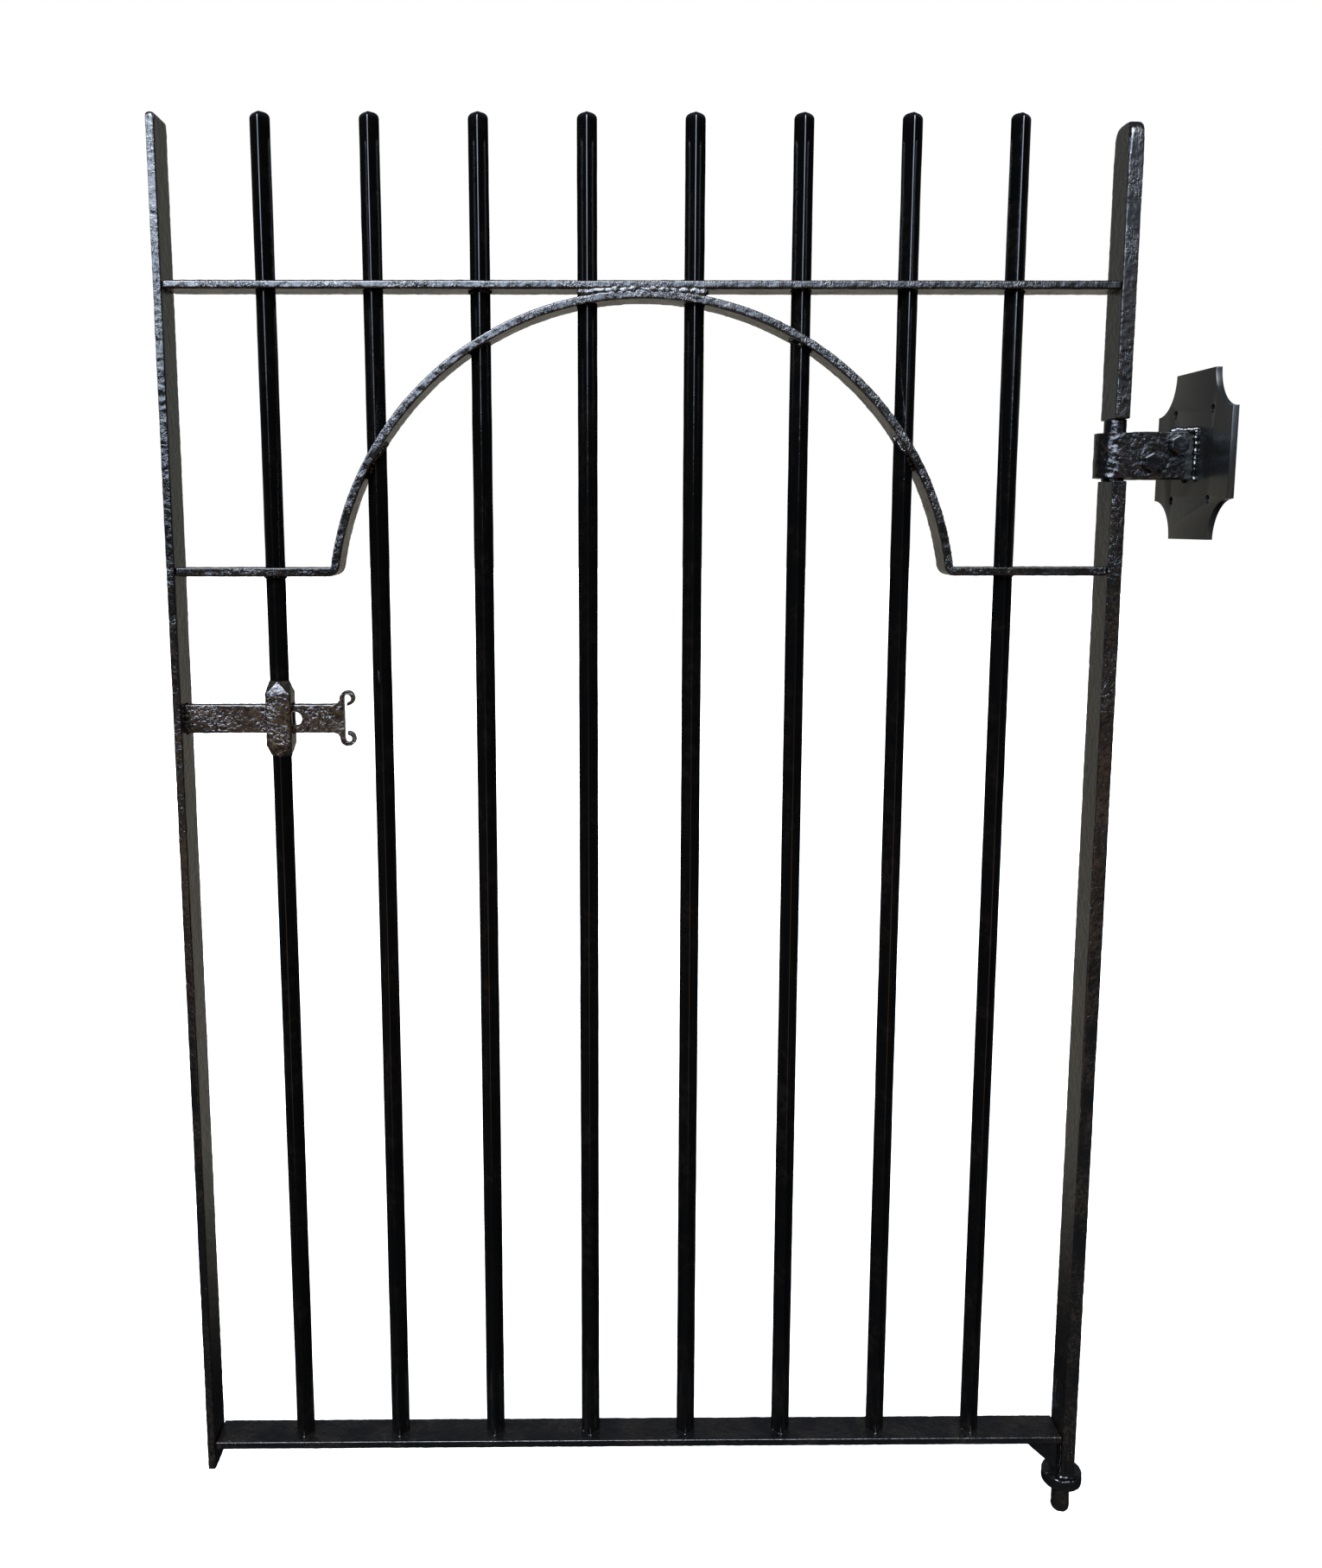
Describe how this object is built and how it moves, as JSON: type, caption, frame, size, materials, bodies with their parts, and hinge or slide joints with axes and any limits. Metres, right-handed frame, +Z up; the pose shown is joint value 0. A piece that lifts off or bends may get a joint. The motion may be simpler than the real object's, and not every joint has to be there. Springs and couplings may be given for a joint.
{
  "type": "garden gate",
  "caption": "Wrought-iron garden gate with an arched rail between flat stiles, corner-on bars, a sliding latch bolt, and a strap hinge on a scalloped wall plate.",
  "frame": {"origin": "centre of the wall plate's back face, on the plane of the wall", "axes": "+X out of the wall plate's back, into the wall; the leaf reaches towards -X and its front faces -Y; +Z up, along the hinge axis"},
  "size_m": [0.9969, 0.16, 1.4403],
  "materials": {
    "stile_paint": "gloss black paint over pitted, hammered wrought iron",
    "rail_paint": "gloss black paint over hammered wrought iron, bright along the edges",
    "bar_paint": "smooth deep gloss black paint",
    "latch_paint": "gloss black paint worn brown over deeply pitted iron",
    "bracket_paint": "smooth satin-gloss black paint on plate steel",
    "strap_paint": "thick gloss black paint over pitted iron"
  },
  "bodies": {
    "wall_bracket": {"wall_plate": "bracket_paint", "hinge_lug": "bracket_paint", "hinge_strap": "strap_paint", "strap_bolt_1": "strap_paint", "strap_bolt_2": "strap_paint", "strap_nut_1": "strap_paint", "strap_nut_2": "strap_paint"},
    "gate_leaf": {"latch_stile": "stile_paint", "hinge_stile_upper": "stile_paint", "hinge_neck": "stile_paint", "hinge_stile_lower": "stile_paint", "top_rail": "rail_paint", "arch_rail": "rail_paint", "bottom_rail": "rail_paint", "picket_bar_1": "bar_paint", "picket_bar_2": "bar_paint", "picket_bar_3": "bar_paint", "picket_bar_4": "bar_paint", "picket_bar_5": "bar_paint", "picket_bar_6": "bar_paint", "picket_bar_7": "bar_paint", "picket_bar_8": "bar_paint", "latch_keeper": "latch_paint", "foot_gusset": "rail_paint", "foot_collar": "stile_paint", "foot_pin": "stile_paint"},
    "latch": {"latch_bolt": "latch_paint"}
  },
  "joints": [
    {"name": "gate_swing", "type": "hinge", "parent": "wall_bracket", "child": "gate_leaf", "pos_m": [-0.0815, 0, 0], "axis": [0, 0, 1], "range_deg": [-90, 90]},
    {"name": "latch_slide", "type": "slide", "parent": "gate_leaf", "child": "latch", "axis": [-1, 0, 0], "range_m": [0, 0.039]}
  ]
}
